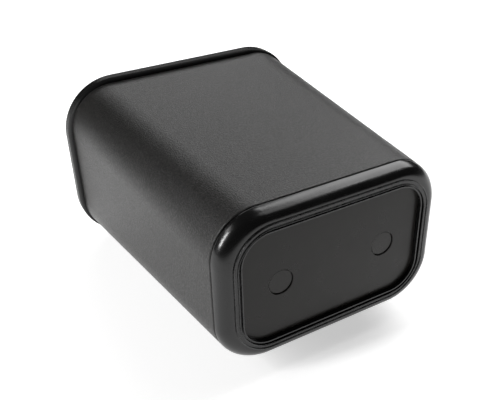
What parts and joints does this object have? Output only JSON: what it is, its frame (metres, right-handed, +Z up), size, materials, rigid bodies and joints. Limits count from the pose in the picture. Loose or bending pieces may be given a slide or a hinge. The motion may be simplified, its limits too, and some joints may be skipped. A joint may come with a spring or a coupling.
{
  "type": "napkin dispenser",
  "caption": "Countertop napkin dispenser: tapered black tub on its side, sprung follower, hinged face plate with oval slot and quarter-turn catch.",
  "frame": {"origin": "bottom centre of the bounding box, on the surface under the rubber feet", "axes": "+Z up, the mouth and face plate face -Y, the rear ring faces +Y, +X is to the right seen from the front"},
  "size_m": [0.1964, 0.2206, 0.1344],
  "materials": {
    "textured_shell": "fine spark-eroded grain, satin black",
    "gloss_trim": "polished black",
    "satin_panel": "smooth satin black",
    "plug_plastic": "smooth satin black",
    "door_plastic": "polished black",
    "lip_plastic": "satin black",
    "inner_plastic": "matte charcoal",
    "follower_plastic": "matte light grey",
    "acetal": "natural white acetal",
    "sheet_steel": "zinc-plated sheet",
    "fastener_steel": "zinc-plated",
    "spring_steel": "drawn wire",
    "lock_metal": "bright plated",
    "foot_rubber": "matte black"
  },
  "bodies": {
    "housing": {"sleeve": "textured_shell", "rear_cap": "gloss_trim", "rear_panel": "satin_panel", "screw_plug_left": "plug_plastic", "screw_plug_right": "plug_plastic", "tie_screws": "fastener_steel", "tie_nuts": "fastener_steel", "magazine": "sheet_steel", "spring_cup": "sheet_steel", "cup_rivets": "fastener_steel", "feed_spring": "spring_steel", "ballast_plate": "sheet_steel", "throat_plate": "inner_plastic", "throat_screws": "fastener_steel", "magazine_rivets": "fastener_steel", "front_bezel": "gloss_trim", "hinge_pin": "fastener_steel", "door_bumpers": "foot_rubber", "foot_front_left": "foot_rubber", "foot_front_right": "foot_rubber", "foot_rear_left": "foot_rubber", "foot_rear_right": "foot_rubber"},
    "follower": {"follower": "follower_plastic", "follower_glides": "acetal", "spring_guide": "acetal", "guide_screw": "fastener_steel"},
    "door": {"face_plate": "door_plastic", "dispensing_lip": "lip_plastic"},
    "catch": {"lock_barrel": "lock_metal", "lock_cam": "fastener_steel", "cam_screw": "fastener_steel"}
  },
  "joints": [
    {"name": "follower_slide", "type": "slide", "parent": "housing", "child": "follower", "axis": [0, 1, 0], "range_m": [0, 0.14], "stiffness_N_per_m": 25, "springref_m": -0.06, "deforming": ["feed_spring"]},
    {"name": "door_hinge", "type": "hinge", "parent": "housing", "child": "door", "pos_m": [0, -0.10705, 0.0105], "axis": [1, 0, 0], "range_deg": [0, 90]},
    {"name": "catch_turn", "type": "hinge", "parent": "door", "child": "catch", "pos_m": [0.076, -0.10705, 0.0677], "axis": [0, 1, 0], "range_deg": [0, 90]}
  ]
}
